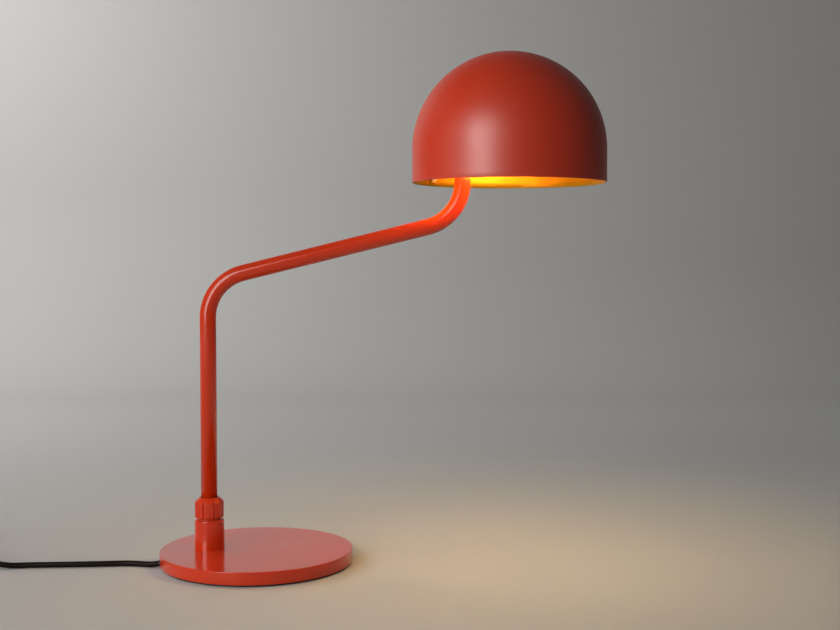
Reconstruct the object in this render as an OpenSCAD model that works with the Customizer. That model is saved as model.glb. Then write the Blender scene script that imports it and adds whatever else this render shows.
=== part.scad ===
// Desk lamp with a dome shade on a bent tube arm.
// A weighted round base carries a collar off its centre. A collet nut on the collar holds
// the arm, which turns and slides a little in it. The shade turns on the arm's upper end.
// Frame: the base stands on z = 0, its centre is the origin, and the arm reaches along +X.

/* [Base] */
// Diameter of the base disc
base_d = 200; // [180:1:240]
// Thickness of the steel disc
base_disc_h = 13; // [12:0.5:16]
// Thickness of the rubber mat under the disc
base_pad_h = 2; // [1.5:0.5:3]
// Bevel on the disc's two edges
base_bevel = 0.8; // [0.4:0.1:1.5]
// Distance from the base's centre back to the post
post_offset = 49.5; // [44:0.5:52]

/* [Post] */
// Diameter of the collar at its foot
collar_foot_d = 31; // [30.6:0.1:31.6]
// Diameter of the collar at its top
collar_top_d = 30.4; // [29.4:0.1:30.6]
// Height of the collar above the base
collar_h = 31; // [31:1:34]
// Outer diameter of the clamping nut
nut_d = 30; // [29.5:0.5:31]
// Number of grooves round the clamping nut
nut_grooves = 8; // [6:1:12]
// How far the grooves are turned about the post, in degrees
nut_turned = 8.4; // [0:0.1:45]

/* [Arm] */
// Outer diameter of the arm tube
tube_d = 17; // [17]
// Wall of the arm tube
tube_wall = 1.5; // [1.5]
// Radius of both bends, at the tube's centre line
bend_r = 48; // [40:1:60]
// Rise of the sloping part, in degrees
slope = 13.9; // [8:0.1:20]
// Distance from the post's axis to the tube's upper end
reach = 264; // [220:1:300]
// Height at which the post's axis and the slope would cross
corner_z = 293.7; // [260:0.1:320]
// How far the arm can be drawn up out of the collar
height_travel = 12; // [12]

/* [Shade] */
// Diameter of the shade
shade_d = 200; // [180:1:220]
// Wall of the shade
shade_wall = 1; // [0.8:0.1:1.2]
// Height of the straight skirt below the dome
skirt_h = 34; // [30:1:40]
// Distance from the tube's upper end to the shade's axis
shade_offset = 48; // [46:0.5:50]

/* [Bulb and holder] */
// Diameter of the bulb's globe
globe_d = 45; // [40:1:50]
// Length of the lampholder
holder_l = 40; // [40]

/* [Cord] */
// Diameter of the mains cord
cord_d = 6; // [5.8:0.1:6]
// Number of turns in the wound coil
coil_turns = 6.25; // [5.25:1:6.25]
// Distance between neighbouring turns
coil_pitch = 6.6; // [6.5:0.1:6.8]
// Radius of the coil's outermost turn
coil_r = 46; // [46:1:50]

/* [Hidden] */

// Curved surfaces are drawn this smooth
$fn = 96;
// Clearances: a running fit, a loose gap, the excess of a cutter past a face, and of a bend's radius
fit = 0.08;
gap = 0.3;
over = 1;
bend_excess = 0.02;

// Colours
paint = [0.68, 0.18, 0.09];
inner_paint = [0.93, 0.72, 0.33];
black_rubber = [0.07, 0.07, 0.07];
black_plastic = [0.10, 0.10, 0.11];
white_plastic = [0.90, 0.89, 0.85];
porcelain = [0.93, 0.92, 0.88];
zinc = [0.72, 0.73, 0.75];
nickel = [0.80, 0.79, 0.76];
brass = [0.80, 0.64, 0.30];
opal_glass = [0.98, 0.95, 0.86];
brown_core = [0.35, 0.18, 0.08];

// Places along the post
base_top = base_pad_h + base_disc_h;
post_x = -post_offset;
recess_r = 38;
recess_top = 11;
cover_r = 41;
cover_h = 1;
collar_top = base_top + collar_h;
ledge_z = 12;
spigot_r = 10;
spigot_bottom = 6.4;
neck_r = 12;
seat_r = tube_d / 2 + 0.98;
seat_rise = 0.11;
neck_top = collar_top + 12;
collet_bottom = collar_top + 2.4;
collet_top = neck_top + 3.4;
nut_bottom = collar_top + 2;
nut_top = nut_bottom + 21;
nut_cone_h = 4.4;
ring_bottom = collet_top + 0.1;
ring_h = 2;

// Places along the arm
tube_r = tube_d / 2;
tube_bore = tube_r - tube_wall;
bend_angle = 90 - slope;
bend_cut = bend_r * tan(bend_angle / 2);
tube_bottom = base_top + 15;
bend1_z = corner_z - bend_cut;
upper_corner_z = corner_z + reach * tan(slope);
bend2_z = upper_corner_z + bend_cut;
slope_l = reach / cos(slope) - 2 * bend_cut;
head_x = post_x + reach;
rim_z = bend2_z - 1.2;
tube_top = rim_z + 22.2;
flange_h = 3;
washer_h = 1;
bar_z = tube_top + flange_h + washer_h + 0.2;
bar_h = 2;
stub_top = bar_z + 11;
groove_bottom = 13.3;
groove_top = tube_bottom - 1;
stop_z = base_top + 12.2;
bush_bottom = ledge_z + 0.4;

// Places in the shade
shade_r = shade_d / 2;
shade_x = head_x + shade_offset;
dome_z = rim_z + skirt_h;
wall_r = shade_r - shade_wall;
bar_half = 78;
bar_screw_y = 74;
bar_left = -9;
bar_right = 12;
bulb_z = bar_z + bar_h + 31.8;
cleat_az = 123;
cleat_nut_az = 142.6;
cleat_nut_z = rim_z + 7.6;

// Places on the cord
cord_r = cord_d / 2;
cord_exit = [-97.5, -22, 4.4];
clamp_z = 7.9;
bush_in_x = -76;
bush_l = norm([cord_exit[0] - bush_in_x, 0, cord_exit[2] - clamp_z]);
bush_tilt = atan2(clamp_z - cord_exit[2], bush_in_x - cord_exit[0]);
switch_x = -306;
switch_y = -28;
switch_l = 60;
switch_w = 26;
switch_h = 17;
switch_split = 8.2;
snout_l = 8;
switch_cord_z = 6;
rocker_z = 13;
trunnion_r = 1.2;
coil_x = -378;
coil_y = switch_y + coil_r;
layer_rise = coil_pitch;
table_z = cord_r + 0.1;
plug_x = -380;
plug_y = coil_y + 72;
plug_z = 6.95;

// The free stretches of the cord follow these points
lead_route = [
    cord_exit, [-104, -21.9, 3.4], [-111, -20.9, 3.2], [-118, -19.2, 3.2],
    [-125, -17.8, 3.2], [-133, -17.1, 3.2], [-141, -17.2, table_z], [-155, -18.7, table_z],
    [-170, -20, table_z], [-185, -21.1, table_z], [-200, -22.1, table_z],
    [-215, -22.9, table_z], [-230, -24, table_z], [-242, -25.6, table_z],
    [-250, -26.9, 3.5], [-256.5, -27.7, 4.4], [-262.5, -28, 5.5], [-268, -28, switch_cord_z]
];
link_route = [
    [-344, -28, switch_cord_z], [-350, -28, 5.8], [-357, -28, 4.6],
    [-364, -28, 3.5], [-372, -28, table_z]
];
tail_route = [
    [-424, 24, 9.7], [-424, 32, 9.4], [-424, 41, 7.8], [-424, 50, 5.4],
    [-424, 60, table_z], [-421.7, 71.5, table_z], [-415.2, 81.2, table_z],
    [-405.5, 87.7, 3.3], [-396, 90, 5.6], [-386, 90, 6.9], [-380, 90, plug_z]
];
// The cores run from the stripped cord up into the post, and from the tube to the holder
base_core_route = [
    [-60.6, -22, 7.9], [-59.8, -21.9, 7.8], [-58.4, -18.6, 6], [-56.2, -14, 4.5], [-53, -7, 4.4],
    [-50.6, -2.4, 5.4], [-49.6, -1.2, 8.5], [-49.5, -1.2, 12]
];
head_core_route = [
    [0, 1.2, 8], [0, 1.3, 14], [0.8, 1.8, 21], [3.5, 2.8, 27.5], [8, 3.6, 32], [14.4, 4.4, 33.8]
];

// ---- helpers ----

function unit(v) = v / norm(v);

// The direction of a route at each of its points
function headings(p) = [
    for (i = [0 : len(p) - 1]) unit(p[min(i + 1, len(p) - 1)] - p[max(i - 1, 0)])
];

// A side vector at each point, carried along the route without twisting
function carried(t, first) = [
    for (i = 0, s = unit(first - (first * t[0]) * t[0]); i < len(t);
        i = i + 1, s = i < len(t) ? unit(s - (s * t[i]) * t[i]) : s) s
];

// A closed tube of n sides and radius r along the points p
module swept(p, r, n = 8, first = [0, 0, 1]) {
    t = headings(p);
    s = carried(t, first);
    last = len(p) - 1;
    points = [
        for (i = [0 : last]) for (k = [0 : n - 1])
            p[i] + r * (cos(360 * k / n) * s[i] + sin(360 * k / n) * cross(t[i], s[i]))
    ];
    walls = [
        for (i = [0 : last - 1]) for (k = [0 : n - 1]) for (half = [0, 1])
            half == 0
                ? [i * n + k, (i + 1) * n + k, (i + 1) * n + (k + 1) % n]
                : [i * n + k, (i + 1) * n + (k + 1) % n, i * n + (k + 1) % n]
    ];
    near_cap = [for (k = [1 : n - 2]) [0, k, k + 1]];
    far_cap = [for (k = [1 : n - 2]) [last * n, last * n + k + 1, last * n + k]];
    polyhedron(points, concat(walls, near_cap, far_cap), convexity = 10);
}

module at_post(z = 0) {
    translate([post_x, 0, z]) children();
}

module at_head(z = 0) {
    translate([head_x, 0, z]) children();
}

module at_shade(z = 0) {
    translate([shade_x, 0, z]) children();
}

// Places its children on the holder's axis: their own z runs out of the holder's mouth
module on_bulb_axis(x = 0) {
    translate([head_x + bar_right + x, 0, bulb_z]) rotate([0, 90, 0]) children();
}

module ring(outer, inner, h) {
    difference() {
        cylinder(r = outer, h = h);
        translate([0, 0, -over]) cylinder(r = inner, h = h + 2 * over);
    }
}

module hexagon(across, h) {
    cylinder(d = across / cos(30), h = h, $fn = 6);
}

module hex_nut(across, bore, h) {
    difference() {
        hexagon(across, h);
        translate([0, 0, -over]) cylinder(r = bore, h = h + 2 * over);
    }
}

// A screw with a flat-topped head; its own z = 0 is under the head, the shank runs down
module pan_screw(shank_r, length, head_r, head_h) {
    difference() {
        union() {
            translate([0, 0, -length]) cylinder(r = shank_r, h = length + over / 2);
            cylinder(r = head_r, h = head_h * 0.6);
            translate([0, 0, head_h * 0.6]) cylinder(r1 = head_r, r2 = head_r * 0.75, h = head_h * 0.4);
        }
        for (turn = [0, 90])
            rotate([0, 0, turn])
                translate([-head_r * 0.6, -0.35, head_h * 0.45])
                    cube([head_r * 1.2, 0.7, head_h]);
    }
}

// A box with rounded upright edges
module rounded_block(l, w, h, r) {
    linear_extrude(h) {
        square([l - 2 * r, w], center = true);
        square([l, w - 2 * r], center = true);
        for (sx = [-1, 1]) for (sy = [-1, 1])
            translate([sx * (l / 2 - r), sy * (w / 2 - r)]) circle(r);
    }
}

// One bend of the arm; it is a hair thicker than the straights that run into it
module arm_bend(r) {
    rotate([90, 0, 0])
        rotate_extrude(angle = bend_angle) translate([bend_r, 0]) circle(r + bend_excess);
}

// A rod of radius r along the arm's centre line, from height low to height high
module arm_rod(r, low, high) {
    lap = over / 2;
    at_post(low) cylinder(r = r, h = bend1_z - low + lap);
    translate([post_x + bend_r, 0, bend1_z]) rotate([0, -90 - slope, 0]) {
        arm_bend(r);
        translate([bend_r, 0, -slope_l - lap]) cylinder(r = r, h = slope_l + 2 * lap);
    }
    translate([head_x - bend_r, 0, bend2_z]) mirror([0, 0, 1]) arm_bend(r);
    at_head(bend2_z - lap) cylinder(r = r, h = high - bend2_z + lap);
}

// ---- base ----

module cover_screw_places() {
    for (az = [30, 150, 270])
        translate([34.5 * cos(az), 34.5 * sin(az), 0]) children();
}

module clamp_screw_places() {
    for (dy = [-6.5, 6.5]) translate([-66, cord_exit[1] + dy, 0]) children();
}

// Places its children on the bush's axis: their own z runs from the rim into the base
module on_bush_axis() {
    translate(cord_exit) rotate([0, 90 - bush_tilt, 0]) children();
}

module base_disc() {
    r = base_d / 2;
    b = base_bevel;
    color(paint)
    difference() {
        translate([0, 0, base_pad_h])
            rotate_extrude()
                polygon([
                    [0, 0], [r - b, 0], [r, b], [r, base_disc_h - b], [r - b, base_disc_h], [0, base_disc_h]
                ]);
        difference() {
            at_post(base_pad_h - over) cylinder(r = recess_r, h = recess_top - base_pad_h + over);
            at_post(base_pad_h - 2 * over) cover_screw_places() cylinder(r = 4.5, h = 20);
        }
        at_post(base_pad_h - over) cylinder(r = cover_r + 0.2, h = over + cover_h);
        at_post() cylinder(r = spigot_r + 0.05, h = 40);
        at_post() cover_screw_places() cylinder(r = 1.55, h = recess_top - 1);
        clamp_screw_places() cylinder(r = 1.55, h = recess_top + 2.5);
        on_bush_axis() translate([0, 0, -5]) cylinder(r = 4.2, h = bush_l + 9);
    }
}

module foot_pad() {
    color(black_rubber)
    difference() {
        cylinder(r = base_d / 2 - 3, h = base_pad_h);
        at_post(-over) cylinder(r = cover_r + 1, h = base_pad_h + 2 * over);
        translate([-base_d / 2, cord_exit[1] - 5, -over]) cube([30, 10, base_pad_h + 2 * over]);
    }
}

module cover_plate() {
    color(zinc)
    difference() {
        at_post(base_pad_h) cylinder(r = cover_r, h = cover_h);
        at_post(base_pad_h - over) cover_screw_places() cylinder(r = 1.7, h = cover_h + 2 * over);
        on_bush_axis() cylinder(r = 4.3, h = bush_l + over);
    }
}

module cover_screws() {
    color(zinc)
    at_post(base_pad_h - 0.05)
        cover_screw_places() rotate([180, 0, 0]) pan_screw(1.5, 7, 2.8, 1.4);
}

module cord_bush() {
    color(black_rubber)
    on_bush_axis()
    difference() {
        cylinder(r1 = 3.6, r2 = 4.1, h = bush_l);
        translate([0, 0, -over]) cylinder(r = cord_r + 0.02, h = bush_l + 2 * over);
    }
}

module base_cord() {
    color(black_rubber) {
        on_bush_axis() translate([0, 0, 0.05]) cylinder(r = cord_r, h = bush_l);
        translate([bush_in_x + 0.45, cord_exit[1], clamp_z]) rotate([0, 90, 0]) cylinder(r = cord_r, h = 14);
    }
}

module base_leads() {
    color(brown_core)
    for (side = [-1, 1])
        swept([for (p = base_core_route) p + [0.6 * side, -0.9 * side, 0]], 1, 6, [1, 1, 0]);
}

module cord_clamp() {
    floor_z = base_pad_h + cover_h + 0.3;
    color(black_plastic)
    difference() {
        translate([-69, cord_exit[1] - 9, floor_z]) cube([6, 18, recess_top - 0.3 - floor_z]);
        translate([-70, cord_exit[1], clamp_z]) rotate([0, 90, 0]) cylinder(r = cord_r + 0.02, h = 8);
        translate([-70, cord_exit[1] - cord_r - 0.02, clamp_z]) cube([8, 2 * cord_r + 0.04, 8]);
        clamp_screw_places() cylinder(r = 1.6, h = 20);
        clamp_screw_places() cylinder(r = 2.7, h = floor_z + 1.6);
    }
}

module clamp_screws() {
    color(zinc)
    clamp_screw_places()
        translate([0, 0, base_pad_h + cover_h + 1.9]) rotate([180, 0, 0]) pan_screw(1.5, 8, 2.5, 1.5);
}

// ---- post ----

module collar() {
    foot_r = collar_foot_d / 2;
    top_r = collar_top_d / 2;
    mouth_r = seat_r + (neck_top - collet_bottom) * seat_rise;
    color(paint)
    at_post()
    difference() {
        rotate_extrude()
            polygon([
                [5, spigot_bottom], [spigot_r, spigot_bottom], [spigot_r, base_top], [foot_r, base_top],
                [top_r, collar_top - 1], [top_r - 1, collar_top], [neck_r, collar_top],
                [neck_r, neck_top - 0.5], [neck_r - 0.5, neck_top], [mouth_r, neck_top],
                [seat_r, collet_bottom - 0.3], [tube_r + fit, collet_bottom - 0.3],
                [tube_r + fit, ledge_z], [5, ledge_z]
            ]);
        translate([0, 0, stop_z]) rotate([-90, 0, 0]) cylinder(r = 2.05, h = 20);
    }
}

module collar_washer() {
    color(zinc)
    at_post(recess_top - 1) ring(16, spigot_r + 0.1, 0.98);
}

module collar_nut() {
    color(zinc)
    at_post(recess_top - 4.3) hex_nut(29, spigot_r + 0.05, 3.25);
}

module stop_screw() {
    color(zinc)
    at_post(stop_z) rotate([-90, 0, 0])
    difference() {
        union() {
            translate([0, 0, 6.4]) cylinder(r = 1.5, h = 3);
            translate([0, 0, 8.6]) cylinder(r = 2, h = 6);
        }
        translate([0, 0, 12.6]) hexagon(2, 4);
    }
}

module thrust_ring() {
    color(brass)
    at_post(ring_bottom) ring(neck_r - 0.1, tube_r + 0.4, ring_h);
}

module clamp_nut() {
    r = nut_d / 2;
    thread_r = neck_r + fit;
    roof_z = ring_bottom + ring_h + 0.1;
    color(paint)
    at_post()
    difference() {
        rotate_extrude()
            polygon([
                [thread_r, nut_bottom], [r - 1, nut_bottom], [r, nut_bottom + 1], [r, nut_top - nut_cone_h],
                [r - nut_cone_h, nut_top], [tube_r + 0.9, nut_top], [tube_r + 0.4, nut_top - 0.5],
                [tube_r + 0.4, roof_z], [thread_r, roof_z]
            ]);
        for (k = [0 : nut_grooves - 1])
            rotate([0, 0, (k + 0.5) * 360 / nut_grooves + nut_turned])
                translate([r + 0.35, 0, nut_bottom - over]) cylinder(r = 1.3, h = nut_top - nut_bottom - 1.6);
    }
}

module collet() {
    foot_r = seat_r - fit;
    mouth_r = foot_r + (neck_top - collet_bottom) * seat_rise;
    color(brass)
    at_post()
    difference() {
        rotate_extrude()
            polygon([
                [tube_r + 0.05, collet_bottom], [foot_r, collet_bottom], [mouth_r, neck_top],
                [mouth_r, neck_top + gap], [neck_r - 0.8, neck_top + gap],
                [neck_r - 0.8, collet_top - 0.6], [neck_r - 1.4, collet_top], [tube_r + 0.05, collet_top]
            ]);
        for (turn = [45, 135])
            rotate([0, 0, turn])
                translate([-20, -0.6, collet_bottom - over]) cube([40, 1.2, 9.6 + over]);
    }
}

// ---- arm ----

module arm_tube() {
    color(paint)
    difference() {
        arm_rod(tube_r, tube_bottom, tube_top);
        arm_rod(tube_bore, tube_bottom - over, tube_top + over);
    }
}

module tube_end_bush() {
    rib_az = -90;
    rib_half = 8;
    color(white_plastic)
    at_post()
    difference() {
        rotate_extrude()
            polygon([
                [4.5, bush_bottom], [tube_r, bush_bottom], [tube_r, tube_bottom - 0.02],
                [tube_bore - 0.05, tube_bottom - 0.02], [tube_bore - 0.05, tube_bottom + 9],
                [tube_bore - 1, tube_bottom + 10], [4.5, tube_bottom + 10]
            ]);
        translate([0, 0, groove_bottom])
            rotate([0, 0, rib_az + rib_half])
                rotate_extrude(angle = 360 - 2 * rib_half)
                    translate([6, 0]) square([3, groove_top - groove_bottom]);
    }
}

module arm_cord() {
    color(white_plastic)
    arm_rod(2.6, tube_bottom - 10, stub_top - 4);
}

module tube_top_bush() {
    color(brass)
    at_head(tube_top)
    difference() {
        union() {
            translate([0, 0, -12]) cylinder(r = tube_bore - 0.03, h = 12);
            translate([0, 0, 0.02]) cylinder(r = 10, h = flange_h);
            cylinder(r = 5, h = stub_top - tube_top);
            translate([-2, -14, 0.02]) cube([4, 6, flange_h]);
        }
        translate([0, 0, -20]) cylinder(r = 3.4, h = 60);
    }
}

module swivel_washers() {
    color(zinc)
    for (z = [tube_top + flange_h + 0.04, bar_z + bar_h + 0.2])
        at_head(z) ring(9, 5.05, washer_h - 0.04);
}

module swivel_nut() {
    color(zinc)
    at_head(bar_z + bar_h + washer_h + 0.2) rotate([0, 0, 30]) hex_nut(14, 5.02, 5);
}

// ---- shade ----

module shade_shell() {
    color(paint)
    at_shade()
    difference() {
        union() {
            translate([0, 0, rim_z]) cylinder(r = shade_r, h = skirt_h);
            translate([0, 0, dome_z]) sphere(r = shade_r);
        }
        translate([0, 0, rim_z - shade_r - over]) cylinder(r = shade_r + over, h = shade_r + over);
        translate([0, 0, rim_z - over]) cylinder(r = wall_r, h = skirt_h + over);
        translate([0, 0, dome_z]) sphere(r = wall_r);
    }
}

// Part of a ring round the shade's axis, between two azimuths
module arc_strip(r_in, r_out, z0, z1, az0, az1) {
    at_shade(z0)
        rotate([0, 0, az0])
            rotate_extrude(angle = az1 - az0)
                translate([r_in, 0]) square([r_out - r_in, z1 - z0]);
}

module wall_cleat() {
    plate = 1.2;
    leg_out = wall_r - 0.05;
    leg_in = leg_out - plate;
    leg_bottom = bar_z - 14;
    difference() {
        union() {
            at_shade() rotate([0, 0, cleat_az - 11]) rotate_extrude(angle = 22)
                polygon([
                    [79, bar_z - plate], [79, bar_z], [leg_out, bar_z],
                    [leg_out, leg_bottom], [leg_in, leg_bottom], [leg_in, bar_z - plate]
                ]);
            arc_strip(
                leg_in + 0.1, leg_out - 0.1, leg_bottom + 1, bar_z - 8, cleat_az + 5, cleat_nut_az + 3.5
            );
            arc_strip(leg_in, leg_out, cleat_nut_z - 4, bar_z - 9, cleat_nut_az - 3, cleat_nut_az + 3);
        }
        at_head(bar_z - 5) translate([0, bar_screw_y, 0]) cylinder(r = 2.1, h = 10);
    }
}

module wall_cleats() {
    color(inner_paint) {
        wall_cleat();
        mirror([0, 1, 0]) wall_cleat();
    }
}

module cleat_nut() {
    at_shade(cleat_nut_z)
        rotate([0, 0, cleat_nut_az])
            translate([wall_r - 1.3, 0, 0]) rotate([0, -90, 0]) {
                hexagon(5.6, 1.8);
                translate([0, 0, 1.8])
                    intersection() {
                        sphere(r = 2.6);
                        cylinder(r = 3, h = 3);
                    }
            }
}

module cleat_nuts() {
    color(nickel) {
        cleat_nut();
        mirror([0, 1, 0]) cleat_nut();
    }
}

module shade_bracket() {
    lug_r = 15;
    color(zinc)
    at_head()
    difference() {
        union() {
            translate([bar_left, -bar_half, bar_z]) cube([bar_right - bar_left, 2 * bar_half, bar_h]);
            translate([bar_right - 2, -lug_r, bar_z]) cube([2, 2 * lug_r, bulb_z - bar_z]);
            translate([bar_right - 2, 0, bulb_z]) rotate([0, 90, 0]) cylinder(r = lug_r, h = 2);
        }
        translate([0, 0, bar_z - over]) cylinder(r = 5 + fit, h = bar_h + 2 * over);
        translate([0, 12, bar_z - over]) cylinder(r = 1.52, h = bar_h + 2 * over);
        for (side = [-1, 1]) {
            translate([0, side * bar_screw_y, bar_z - over]) cylinder(r = 2.1, h = bar_h + 2 * over);
            translate([0, side * 11.6, bulb_z]) rotate([0, 90, 0]) cylinder(r = 1.6, h = 20);
        }
        translate([0, 0, bulb_z]) rotate([0, 90, 0]) cylinder(r = 8.5, h = 20);
    }
}

module bar_screws() {
    color(zinc)
    for (side = [-1, 1])
        at_head(bar_z + bar_h + 0.02) translate([0, side * bar_screw_y, 0]) pan_screw(2, 8.5, 3.6, 2.4);
}

module bar_nuts() {
    color(zinc)
    for (side = [-1, 1])
        at_head(bar_z - 1.2 - 3.25) translate([0, side * bar_screw_y, 0]) hex_nut(7, 2.02, 3.2);
}

module head_stop_pin() {
    color(zinc)
    at_head(tube_top + 0.2) translate([0, 12, 0]) {
        cylinder(r = 1.5, h = bar_z + bar_h - tube_top - 0.2);
        translate([0, 0, bar_z + bar_h - tube_top - 0.2]) cylinder(r1 = 2.2, r2 = 1.4, h = 0.8);
    }
}

// ---- lampholder and bulb ----

module holder_body() {
    color(porcelain)
    difference() {
        on_bulb_axis()
            rotate_extrude()
                polygon([
                    [8, 0], [16, 0], [16, 6], [19.5, 9], [19.5, holder_l - 1.5], [18, holder_l],
                    [15.4, holder_l], [14.9, holder_l - 0.8], [14.9, 17], [1.6, 17], [1.6, 6], [8, 6]
                ]);
        for (side = [-1, 1]) {
            translate([head_x, side * 11.6, bulb_z]) rotate([0, 90, 0]) cylinder(r = 1.55, h = bar_right + 9);
            translate([head_x, side * 6.4, bulb_z]) rotate([0, 90, 0]) cylinder(r = 1.2, h = bar_right + 19);
        }
    }
}

module holder_shell() {
    shell_l = 20;
    color(brass)
    on_bulb_axis(17.02)
    rotate_extrude()
        polygon(concat(
            [for (z = [0 : shell_l]) [14.3 + 0.3 * cos(z * 90), z]],
            [[13.6, shell_l], [13.6, 0]]
        ));
}

module holder_contact() {
    color(brass)
    on_bulb_axis(17.05) {
        cylinder(r = 4.5, h = 0.8);
        translate([0, 0, 0.8]) cylinder(r1 = 3.5, r2 = 2.5, h = 0.8);
    }
}

module holder_terminals() {
    color(brass)
    for (side = [-1, 1])
        translate([head_x + bar_right + 2.5, side * 5 - 1.8, bulb_z - 2.5]) cube([3.4, 3.6, 5]);
}

module holder_screws() {
    color(zinc)
    for (side = [-1, 1])
        translate([head_x + bar_right - 2.03, side * 11.6, bulb_z])
            rotate([0, -90, 0]) pan_screw(1.5, 10, 2.7, 1.8);
}

module holder_leads() {
    color(brown_core)
    for (side = [-1, 1])
        swept(
            [for (p = head_core_route) [head_x + p[0], side * p[1], stub_top - 11 + p[2]]], 1, 6, [0, 1, 0]
        );
}

module bulb_cap() {
    steps = 30;
    cap_l = 18;
    ridge = 3.6;
    color(nickel)
    on_bulb_axis(23)
    rotate_extrude()
        polygon(concat(
            [for (i = [0 : steps]) [12.7 + 0.4 * cos(360 * i * cap_l / steps / ridge), i * cap_l / steps]],
            [[11.6, cap_l], [11.6, 0.6], [8, 0.6], [8, 0]]
        ));
}

module bulb_insulator() {
    color(black_plastic)
    on_bulb_axis(18.8) {
        translate([0, 0, 1.2]) cylinder(r1 = 6, r2 = 11.4, h = 2.95);
        cylinder(r = 4.4, h = 1.2);
    }
}

module bulb_globe() {
    globe_r = globe_d / 2;
    neck_l = 10;
    neck_end_r = 15.6;
    centre = neck_l + sqrt(globe_r * globe_r - neck_end_r * neck_end_r);
    color(opal_glass)
    on_bulb_axis(41.02)
    difference() {
        union() {
            cylinder(r1 = 12.4, r2 = neck_end_r, h = neck_l);
            translate([0, 0, centre]) sphere(r = globe_r);
        }
        translate([0, 0, -0.01]) cylinder(r1 = 11.5, r2 = neck_end_r - 0.9, h = neck_l + 0.5);
        translate([0, 0, centre]) sphere(r = globe_r - 0.9);
    }
}

// ---- cord, switch and plug ----

module cord_lead() {
    color(black_rubber) swept(lead_route, cord_r, 10);
}

module cord_link() {
    color(black_rubber) swept(link_route, cord_r, 10);
}

module cord_tail() {
    color(black_rubber) swept(tail_route, cord_r, 10);
}

// The coil winds inwards on the table and outwards again on top of itself
function coil_point(a) =
    let (
        half = coil_turns / 2,
        climb = min(1, max(0, (a - half + 0.25) / 0.5)),
        r = coil_r - coil_pitch * min(a, coil_turns - a),
        az = -90 - 360 * a
    )
    [coil_x + r * cos(az), coil_y + r * sin(az), table_z + layer_rise * climb];

coil_rings = 24;
coil_end = coil_point(coil_turns);
coil_way = concat(
    [[coil_x + cord_d, coil_y - coil_r, table_z]],
    [for (i = [0 : coil_rings * coil_turns]) coil_point(i / coil_rings)],
    [coil_end + [0, cord_d, 0]]
);
// The least distance between points that are more than half a turn apart, less the cord
coil_gap = min([
    for (i = [0 : len(coil_way) - 1]) for (j = [i + coil_rings / 2 : 1 : len(coil_way) - 1])
        norm(coil_way[i] - coil_way[j])
]) - cord_d;
function way_length(p) = [for (i = 1, l = norm(p[1] - p[0]); i < len(p);
    i = i + 1, l = i < len(p) ? l + norm(p[i] - p[i - 1]) : l) l][len(p) - 2];

module cord_coil() {
    echo(coil_gap = coil_gap, coil_length = way_length(coil_way), turns = coil_turns);
    echo(lead = way_length(lead_route), link = way_length(link_route), tail = way_length(tail_route));
    color(black_rubber) swept(coil_way, cord_r, 6);
}

module switch_snout(side) {
    translate([switch_x + side * switch_l / 2, switch_y, switch_cord_z])
        rotate([0, side * 90, 0]) translate([0, 0, -0.5]) cylinder(r1 = 5.6, r2 = 4.1, h = snout_l + 0.5);
}

module switch_base() {
    color(black_plastic)
    difference() {
        union() {
            translate([switch_x, switch_y, 0.1]) rounded_block(switch_l, switch_w, switch_split - 0.15, 7);
            intersection() {
                union() {
                    switch_snout(-1);
                    switch_snout(1);
                }
                translate([switch_x - 60, switch_y - 20, 0.1]) cube([120, 40, 11.7]);
            }
        }
        translate([switch_x, switch_y, 1.7]) rounded_block(switch_l - 12, switch_w - 4, 20, 5);
        for (dx = [-26, 26])
            translate([switch_x + dx - 7, switch_y - 6, switch_split - 0.05]) cube([14, 12, 5]);
    }
}

module switch_cover() {
    color(black_plastic)
    difference() {
        union() {
            translate([switch_x, switch_y, switch_split]) rounded_block(switch_l, switch_w, 5.6, 7);
            translate([switch_x, switch_y, switch_split + 5.6])
                rounded_block(switch_l - 3, switch_w - 3, switch_h - switch_split - 5.6, 6);
        }
        difference() {
            translate([switch_x, switch_y, switch_split - 1])
                rounded_block(switch_l - 12, switch_w - 4, 6.8, 5);
            translate([switch_x - 3, switch_y - 7.9, rocker_z - 2.6]) cube([6, 15.8, 10]);
        }
        translate([switch_x - 11.3, switch_y - 6.3, 0]) cube([22.6, 12.6, 30]);
        translate([switch_x, switch_y - 9, rocker_z])
            rotate([-90, 0, 0]) cylinder(r = trunnion_r + fit, h = 18);
        for (dx = [-25, 25])
            translate([switch_x + dx, switch_y, 0]) {
                cylinder(r = 1.6, h = 30);
                translate([0, 0, switch_h - 2.8]) cylinder(r = 2.9, h = 5);
            }
    }
}

module switch_contacts() {
    color(brass)
    for (side = [-1, 1])
        translate([switch_x + side * 16 - 3, switch_y - 4, 2.2]) cube([6, 8, 5]);
}

module switch_screws() {
    color(zinc)
    for (dx = [-25, 25])
        translate([switch_x + dx, switch_y, switch_h - 2.8]) pan_screw(1.5, 5, 2.6, 1.3);
}

// The rocker stands tipped to its ON side; it turns about a line across the cord
module switch_rocker() {
    tip = 7;
    color(white_plastic)
    translate([switch_x, switch_y, rocker_z])
    rotate([90, tip, 0]) {
        translate([0, 0, -5.9])
            linear_extrude(11.8)
                polygon([
                    [-10.6, 4.9], [-9.9, 5.4], [0, 4.1], [9.9, 5.4], [10.6, 4.9],
                    [9.6, -1.5], [0, -3.6], [-9.6, -1.5]
                ]);
        translate([0, 0, -7.6]) cylinder(r = trunnion_r, h = 15.2);
    }
}

module plug_body() {
    color(black_plastic)
    translate([plug_x, plug_y, plug_z]) {
        rotate([0, 90, 0]) cylinder(r1 = 4.2, r2 = 6, h = 14.5);
        translate([14, 0, -6.85])
            linear_extrude(13.7)
                polygon([[0, -7], [9, -9], [24, -17.6], [35, -17.6], [35, 17.6], [24, 17.6], [9, 9], [0, 7]]);
    }
}

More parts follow.
